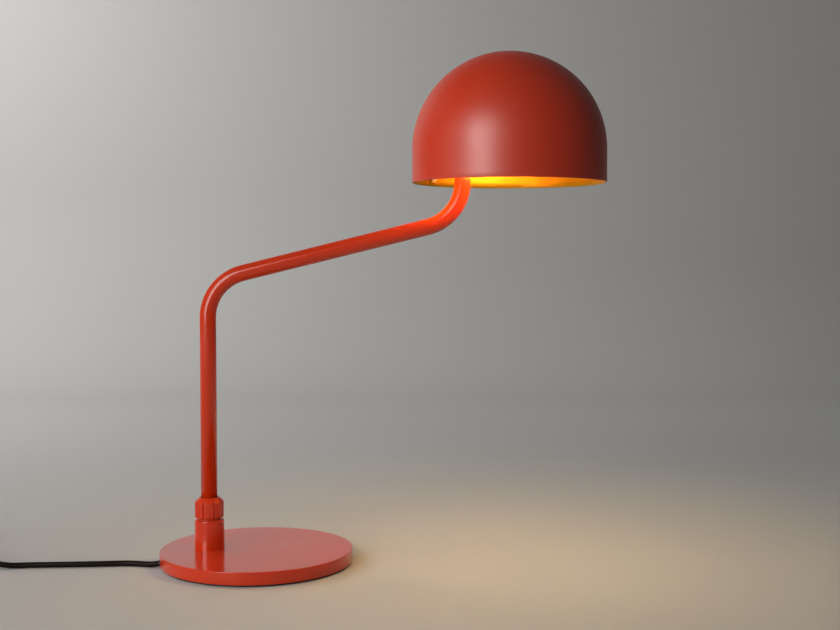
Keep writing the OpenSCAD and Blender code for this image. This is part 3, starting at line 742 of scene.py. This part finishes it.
class LAMP_OT_switch(bpy.types.Operator):
    """Upper shell and key of the switch on the cord"""

    bl_idname = "lamp.switch"
    bl_label = "Cord switch"

    def execute(self, context):
        self.shell()
        self.key()
        return {"FINISHED"}

    def shell(self):
        lo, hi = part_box("switch_cover")
        size = hi - lo
        centre = (lo + hi) / 2
        bm = bmesh.new()
        made = bmesh.ops.create_cube(bm, size=1)
        bmesh.ops.scale(bm, vec=size, verts=made["verts"])
        bmesh.ops.translate(bm, vec=centre, verts=made["verts"])
        upright = [e for e in bm.edges if abs((e.verts[0].co - e.verts[1].co).z) > size.z / 2]
        round_edges(bm, upright, 7 * MM, 8)
        top = max(bm.faces, key=lambda f: f.calc_center_median().z + f.calc_area())
        round_edges(bm, list(top.edges), 2.2 * MM, 4)
        self.cut_window(bm, centre, hi.z)
        piece(bm, "switch_shell", [black_plastic()], "base", ["switch_cover"])

    def cut_window(self, bm, centre, top):
        """Sinks the window for the key into the shell's flat top."""
        half_x, half_y, depth = 11.3 * MM, 6.3 * MM, 8 * MM
        for offset, normal in (
            (centre.x - half_x, (1, 0, 0)), (centre.x + half_x, (1, 0, 0)),
            (centre.y - half_y, (0, 1, 0)), (centre.y + half_y, (0, 1, 0)),
        ):
            everything = bm.verts[:] + bm.edges[:] + bm.faces[:]
            bmesh.ops.bisect_plane(bm, geom=everything, plane_co=Vector(normal) * offset, plane_no=normal)
        window = [
            f for f in bm.faces
            if abs(f.calc_center_median().x - centre.x) < half_x
            and abs(f.calc_center_median().y - centre.y) < half_y
            and f.calc_center_median().z > top - 0.1 * MM
        ]
        made = bmesh.ops.extrude_face_region(bm, geom=window)
        bmesh.ops.translate(bm, vec=(0, 0, -depth), verts=moved_verts(made["geom"]))
        bmesh.ops.delete(bm, geom=window, context="FACES_ONLY")

    def key(self):
        half_width, tipped = 5.8, math.radians(7)
        # The key from the side, about its pivot: a dished top and slanting ends
        outline = [
            (-10.5, 4.8), (-7, 4.75), (-3.5, 4.3), (0, 4.0), (3.5, 4.3), (7, 4.75), (10.5, 4.8), (9.5, -1.4),
            (-9.5, -1.4),
        ]
        bm = bmesh.new()
        face = bm.faces.new([bm.verts.new(mm(x, -half_width, z)) for x, z in outline])
        made = bmesh.ops.extrude_face_region(bm, geom=[face])
        bmesh.ops.translate(bm, vec=mm(0, 2 * half_width, 0), verts=moved_verts(made["geom"]))
        bmesh.ops.recalc_face_normals(bm, faces=bm.faces[:])
        soften(bm, 0.5 * MM, 3, 40)
        bmesh.ops.rotate(bm, cent=(0, 0, 0), matrix=Matrix.Rotation(tipped, 3, "Y"), verts=bm.verts[:])
        bmesh.ops.translate(bm, vec=mm(*SWITCH_PIVOT), verts=bm.verts[:])
        piece(bm, "switch_key", [white_plastic()], "rocker", ["switch_rocker"])


class LAMP_OT_plug(bpy.types.Operator):
    """Moulded body of the two-pin plug"""

    bl_idname = "lamp.plug"
    bl_label = "Plug"

    # Distance from the cord's end, half width and half height in millimetres
    STATIONS = (
        (0, 4.1, 4.1), (0.6, 4.3, 4.3), (4, 4.8, 4.8), (9, 5.4, 5.4), (13.5, 6.4, 6.2), (18, 7.6, 6.7),
        (22, 9.0, 6.8), (27, 11.6, 6.8), (32, 14.6, 6.8), (37, 16.9, 6.8), (42, 17.6, 6.8), (47.6, 17.6, 6.8),
        (48.6, 17.2, 6.3), (49, 16.6, 5.8),
    )

    def execute(self, context):
        bm = bmesh.new()
        start = mm(*PLUG_START)
        rings = []
        for x, half_y, half_z in self.STATIONS:
            # Round at the cord, and squarer towards the pins
            power = 2.0 + 3.0 * min(1.0, max(0.0, (x - 9) / 25))
            ring = circle(bm, 1.0, (0, 0, 0), 40, (1, 0, 0))
            for vert in once(v for e in ring for v in e.verts):
                y, z = vert.co.y, vert.co.z
                scale = (abs(y) ** power + abs(z) ** power) ** (-1 / power)
                vert.co = start + mm(x, y * scale * half_y, z * scale * half_z)
            rings.append(ring)
        for ring, further in zip(rings, rings[1:]):
            bmesh.ops.bridge_loops(bm, edges=ring + further)
        bmesh.ops.holes_fill(bm, edges=rings[0] + rings[-1], sides=0)
        piece(bm, "plug_shell", [black_plastic()], "base", ["plug_body"], sharp=50)
        return {"FINISHED"}


# ---- base and post ----


class LAMP_OT_base(bpy.types.Operator):
    """Round painted base disc"""

    bl_idname = "lamp.base"
    bl_label = "Base disc"

    SEGMENTS = 192

    def execute(self, context):
        radius = (BASE_HI.x - BASE_LO.x) / 2
        low, top = BASE_LO.z, BASE_HI.z
        bevel = 0.8 * MM
        # The flat top and underside end in narrow rings, so that the rounding doesn't shade them
        quarter = [math.pi / 2 * i / 4 for i in range(5)]
        over_edge = [(radius - bevel * (1 - math.sin(a)), top - bevel * (1 - math.cos(a))) for a in quarter]
        under_edge = [(radius - bevel * (1 - math.cos(a)), low + bevel * (1 - math.sin(a))) for a in quarter]
        rim = [(radius - 2 * bevel, top), *over_edge, *under_edge, (radius - 2 * bevel, low)]
        # From below: the cover plate's step, the wiring recess and the post's hole
        plate_r, recess_r, hole_r = 41.2 * MM, 38 * MM, 10.05 * MM
        step_z, recess_top = low + 1.05 * MM, 11 * MM
        recess = [
            (plate_r + bevel, low), (plate_r, low), (plate_r, step_z), (recess_r, step_z),
            (recess_r, recess_top), (hole_r, recess_top), (hole_r, top), (hole_r + 0.55 * MM, top),
        ]
        bm = bmesh.new()
        outer = circle(bm, rim[0][0], (0, 0, top), self.SEGMENTS)
        under = draw_rings(bm, outer, 0, rim[1:])
        hollow = circle(bm, recess[0][0], (POST_X, 0, low), self.SEGMENTS)
        hole = draw_rings(bm, hollow, POST_X, recess[1:])
        fill_ring(bm, outer, hole, upward=True)
        fill_ring(bm, under, hollow, upward=False)
        piece(bm, "painted_base", [polished_lacquer()], "base", ["base_disc"], sharp=50)
        return {"FINISHED"}


class LAMP_OT_post(bpy.types.Operator):
    """Collar on the base and the grooved clamping nut on it"""

    bl_idname = "lamp.post"
    bl_label = "Collar and nut"

    def execute(self, context):
        self.collar()
        self.nut()
        return {"FINISHED"}

    def collar(self):
        # Spigot, seat on the base, tapered skirt, thread, cone for the collet and bore, in millimetres
        profile = [
            (5, 6.4), (10, 6.4), (10, 15), (15.5, 15), (15.21, 44.8), (15.0, 45.5), (14.5, 45.9), (14.0, 46),
            (12, 46), (12, 57.5), (11.5, 58), (10.53, 58), (9.48, 48.1), (8.58, 48.1), (8.58, 12), (5, 12),
        ]
        foot, top, least_r = 15 * MM, 46 * MM, 13.5 * MM
        axis = Vector((POST_X, 0))

        def at_shoulder(edge):
            return all((v.co.xy - axis).length > least_r and foot < v.co.z <= top for v in edge.verts)

        bm = bmesh.new()
        lathe(bm, [(r * MM, z * MM) for r, z in profile], (POST_X, 0, 0))
        soften(bm, 0.35 * MM, 2, 12, at_shoulder)
        piece(bm, "painted_collar", [lacquer()], "base", ["collar"], sharp=45)

    def nut(self):
        low, high = NUT_LO.z, NUT_HI.z
        outer, shoulder, half_width, floor = 15.0, 0.75, 0.75, 13.65
        # One groove across, as (sideways, outwards) from its own middle: shoulder, wall and floor
        reach = math.sqrt(outer * outer - (half_width + shoulder) ** 2) - shoulder
        side = [
            (half_width + shoulder - shoulder * math.cos(a), reach + shoulder * math.sin(a))
            for a in (math.pi / 2 * i / 5 for i in range(6))
        ]
        side = [(0, floor), (half_width * 0.6, floor + 0.12), (half_width * 0.93, floor + 0.4), *side]
        groove = [(-t, r) for t, r in reversed(side[1:])] + side
        count = sizes().nut_grooves
        edge = math.atan2(half_width + shoulder, reach)
        outline = []
        for k in range(count):
            middle = (k + 0.5) * 2 * math.pi / count + sizes().nut_turned
            outline += [(math.hypot(t, r), middle + math.atan2(t, r)) for t, r in groove]
            lobe = 2 * math.pi / count - 2 * edge
            outline += [(outer, middle + edge + lobe * i / 8) for i in range(1, 8)]
        # The radius to which the outline is cut back, and the height above the nut's foot: chamfer and foot
        upward = [
            (15.1, 14), (15.1, 16.2), (14.95, 16.5), (14.75, 16.8), (14.4, 17.2), (13.9, 17.7), (13.4, 18.2),
            (12.6, 19.0), (11.8, 19.8), (11.1, 20.5), (10.75, 20.85), (10.5, 21.0), (9.9, 21.0),
        ]
        downward = [(15.1, 1.1), (14.9, 0.7), (14.65, 0.35), (14.3, 0.12), (13.9, 0.0)]
        # The hole for the tube and, below its shoulder, the thread that turns on the collar's
        mouth_r, hole_r, thread_r, thread_top = 9.1 * MM, 8.9 * MM, 12.08 * MM, 63.6 * MM
        bore = [(hole_r, high - 0.5 * MM), (hole_r, thread_top), (thread_r, thread_top), (thread_r, low)]
        bm = bmesh.new()
        start_z = 2.5
        axis_foot = Vector((POST_X, 0, low))
        verts = [bm.verts.new(mm(r * math.cos(a), r * math.sin(a), start_z) + axis_foot) for r, a in outline]
        start = [bm.edges.new(pair) for pair in zip(verts, verts[1:] + verts[:1])]
        crown = draw_rings(bm, start, POST_X, [(r * MM, low + h * MM) for r, h in upward], cut_only=True)
        foot = draw_rings(bm, start, POST_X, [(r * MM, low + h * MM) for r, h in downward], cut_only=True)
        mouth = circle(bm, mouth_r, (POST_X, 0, high), len(outline))
        seat = draw_rings(bm, mouth, POST_X, bore)
        fill_ring(bm, crown, mouth, upward=True)
        fill_ring(bm, foot, seat, upward=False)
        piece(bm, "grooved_nut", [lacquer()], "clamp_nut", ["clamp_nut"], sharp=40)


# ---- the arm ----


class LAMP_OT_arm(bpy.types.Operator):
    """Bent arm tube"""

    bl_idname = "lamp.arm"
    bl_label = "Arm tube"

    def execute(self, context):
        s = sizes()
        turn = math.pi / 2 - s.slope
        cut = s.bend_radius * math.tan(turn / 2)
        slope_length = s.reach / math.cos(s.slope) - 2 * cut
        first = s.corner - cut
        second = s.corner + s.reach * math.tan(s.slope) + cut
        head_x = POST_X + s.reach
        bm = bmesh.new()
        ring = circle(bm, s.tube_radius, (POST_X, 0, TUBE_LO.z), 48)
        ring = self.straight(bm, ring, Vector((0, 0, first - TUBE_LO.z)))
        ring = self.bend(bm, ring, (POST_X + s.bend_radius, 0, first), turn)
        ring = self.straight(bm, ring, Vector((math.cos(s.slope), 0, math.sin(s.slope))) * slope_length, 6)
        ring = self.bend(bm, ring, (head_x - s.bend_radius, 0, second), -turn)
        self.straight(bm, ring, Vector((0, 0, TUBE_HI.z - second)))
        tube = piece(bm, "painted_tube", [lacquer()], "arm", ["arm_tube"], sharp=60)
        wall = tube.modifiers.new("wall", "SOLIDIFY")
        wall.thickness = 1.5 * MM
        wall.offset = -1
        return {"FINISHED"}

    def straight(self, bm, ring, along, parts=1):
        for _ in range(parts):
            ring, verts = draw_out(bm, ring)
            bmesh.ops.translate(bm, vec=along / parts, verts=verts)
        return ring

    def bend(self, bm, ring, centre, angle, steps=24):
        verts = once(v for e in ring for v in e.verts)
        made = bmesh.ops.spin(
            bm, geom=verts + ring, cent=centre, axis=(0, 1, 0), dvec=(0, 0, 0), angle=angle, steps=steps,
            use_merge=False, use_normal_flip=False, use_duplicate=False,
        )
        return [g for g in made["geom_last"] if isinstance(g, bmesh.types.BMEdge)]


# ---- the shade ----


class LAMP_OT_shade(bpy.types.Operator):
    """Spun dome, red outside and gold inside, with the nuts of its cleats"""

    bl_idname = "lamp.shade"
    bl_label = "Shade"

    def execute(self, context):
        radius = (SHADE_HI.x - SHADE_LO.x) / 2
        wall = sizes().shade_wall
        skirt = sizes().skirt
        rim = SHADE_LO.z
        inner = radius - wall
        steps = 48
        dome = [math.pi / 2 * i / steps for i in range(steps + 1)]
        outside = [(radius, rim + skirt * i / 6) for i in range(1, 6)]
        outside += [(radius * math.cos(a), rim + skirt + radius * math.sin(a)) for a in dome]
        inside = [(inner * math.cos(a), rim + skirt + inner * math.sin(a)) for a in reversed(dome)]
        inside += [(inner, rim + skirt * i / 6) for i in range(5, 0, -1)]
        edge = [
            (inner, rim + 0.5 * MM), (inner + 0.15 * wall, rim + 0.15 * MM), (inner + 0.5 * wall, rim),
            (radius - 0.15 * wall, rim + 0.15 * MM), (radius, rim + 0.5 * MM),
        ]
        bm = bmesh.new()
        lathe(bm, outside + inside + edge, (SHADE_X, 0, 0), steps=160)
        for face in bm.faces:
            middle = face.calc_center_median()
            from_centre = Vector((middle.x - SHADE_X, middle.y, max(0.0, middle.z - rim - skirt)))
            face.material_index = int(from_centre.length < radius - 0.62 * wall)
        both_sides = [satin_lacquer(), lining()]
        piece(bm, "dome_shade", both_sides, "head", ["shade_shell"], sharp=60)

        bm = bmesh.new()
        for azimuth in (CLEAT_AZIMUTH, -CLEAT_AZIMUTH):
            self.domed_nut(bm, azimuth, inner, rim + CLEAT_HEIGHT)
        # The nuts' warm pale colour is a painted glint of the bulb's light on grey nickel
        piece(bm, "cleat_domes", [nickel_warmed_for_glint()], "head", ["cleat_nuts"], sharp=35)
        return {"FINISHED"}

    def domed_nut(self, bm, azimuth, wall_r, height):
        """A thin hexagon nut on the cleat's strip, with a dome that points into the shade."""
        strip, thickness, corner_r, dome_r, dome_z = 1.3 * MM, 1.8 * MM, 3.2 * MM, 2.55 * MM, 1.6 * MM
        outward = Vector((math.cos(azimuth), math.sin(azimuth), 0))
        seat = Vector((SHADE_X, 0, height)) + outward * (wall_r - strip)
        place = Matrix.Translation(seat) @ turn_up_to(-outward)
        made = bmesh.ops.create_cone(
            bm, cap_ends=True, segments=6, radius1=corner_r, radius2=corner_r, depth=thickness,
            matrix=place @ Matrix.Translation((0, 0, thickness / 2)),
        )
        round_edges(bm, once(e for v in made["verts"] for e in v.link_edges), 0.25 * MM, 2)
        ball = bmesh.ops.create_uvsphere(
            bm, u_segments=24, v_segments=16, radius=dome_r, matrix=place @ Matrix.Translation((0, 0, dome_z))
        )["verts"]
        edges = once(e for v in ball for e in v.link_edges)
        faces = once(f for v in ball for f in v.link_faces)
        cut = seat - outward * dome_z
        bmesh.ops.bisect_plane(
            bm, geom=ball + edges + faces, plane_co=cut, plane_no=-outward, clear_inner=True
        )
        bmesh.ops.holes_fill(bm, edges=[e for e in bm.edges if e.is_boundary], sides=0)
        merge_doubles(bm)


class LAMP_OT_bulb(bpy.types.Operator):
    """Lit opal globe of the bulb"""

    bl_idname = "lamp.bulb"
    bl_label = "Bulb"

    def execute(self, context):
        self.globe()
        self.spill(context.scene)
        return {"FINISHED"}

    def globe(self):
        # Profile in millimetres along the bulb's axis: foot, neck and ball outside, and back again inside
        ball_r, wall = 22.5, 0.9
        neck_r, neck_z, foot_r = 15.6, 10.0, 12.4
        centre = neck_z + math.sqrt(ball_r * ball_r - neck_r * neck_r)
        first = math.acos((neck_z - centre) / ball_r)
        steps = 36
        angles = [first * i / steps for i in range(steps + 1)]
        outside = [(foot_r, 0), (foot_r + 0.5, 2.5), (foot_r + 1.6, 6.5)]
        outside += [(ball_r * math.sin(a), centre + ball_r * math.cos(a)) for a in reversed(angles)]
        inner = ball_r - wall
        inside = [(inner * math.sin(a), centre + inner * math.cos(a)) for a in angles]
        inside += [(foot_r + 0.8, 6.5), (foot_r - 0.4, 2.5), (foot_r - wall, 0)]
        profile = [(max(0.0, r) * MM, z * MM) for r, z in outside + inside]
        bm = bmesh.new()
        lathe(bm, profile, (GLOBE_LO.x, 0, (GLOBE_LO.z + GLOBE_HI.z) / 2), (1, 0, 0), 64)
        piece(bm, "opal_globe", [opal()], "head", ["bulb_globe"], sharp=60)

    def spill(self, scene):
        """The light that the lining throws back down out of the shade; it turns with the head."""
        lamp = bpy.data.lights.new("spill", "AREA")
        lamp.shape = "DISK"
        lamp.size = 0.14
        lamp.energy = 0.52
        lamp.color = (1.0, 0.74, 0.38)
        mouth = bpy.data.objects.new("spill", lamp)
        mouth.location = (SHADE_X, 0, SHADE_LO.z + 12 * MM)
        mouth.visible_camera = False
        mouth.visible_glossy = False
        scene.collection.objects.link(mouth)
        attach(mouth, "head")


class LAMP_OT_fittings(bpy.types.Operator):
    """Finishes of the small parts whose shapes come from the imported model"""

    bl_idname = "lamp.fittings"
    bl_label = "Small fittings"

    def execute(self, context):
        for finish, nodes in NODE_FINISHES.items():
            for name in nodes:
                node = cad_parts[name]
                for slot in node.material_slots:
                    slot.material = finish()
        return {"FINISHED"}


# ---- panel and running order ----

STEPS = (
    LAMP_OT_stage, LAMP_OT_switch, LAMP_OT_plug, LAMP_OT_cord, LAMP_OT_base, LAMP_OT_post, LAMP_OT_arm,
    LAMP_OT_shade, LAMP_OT_bulb, LAMP_OT_fittings,
)


class LAMP_PT_panel(bpy.types.Panel):
    """Sizes, colours and the pieces of the desk lamp"""

    bl_label = "Desk Lamp"
    bl_idname = "LAMP_PT_panel"
    bl_space_type = "VIEW_3D"
    bl_region_type = "UI"
    bl_category = "Desk Lamp"

    def draw(self, context):
        layout = self.layout
        for group in (context.scene.lamp_sizes, context.scene.lamp_finish, context.scene.lamp_studio):
            box = layout.box()
            for name in type(group).__annotations__:
                box.prop(group, name)
        for step in STEPS:
            layout.operator(step.bl_idname)


GROUPS = {"lamp_sizes": LampSizes, "lamp_finish": LampFinish, "lamp_studio": LampStudio}


def register():
    for group in GROUPS.values():
        bpy.utils.register_class(group)
    for step in STEPS:
        bpy.utils.register_class(step)
    bpy.utils.register_class(LAMP_PT_panel)
    for name, group in GROUPS.items():
        setattr(bpy.types.Scene, name, bpy.props.PointerProperty(type=group))


def unregister():
    for name in GROUPS:
        delattr(bpy.types.Scene, name)
    for made in (LAMP_PT_panel, *reversed(STEPS), *GROUPS.values()):
        bpy.utils.unregister_class(made)


def main():
    register()
    for step in STEPS:
        area, name = step.bl_idname.split(".")
        getattr(getattr(bpy.ops, area), name)()


if __name__ == "__main__":
    main()
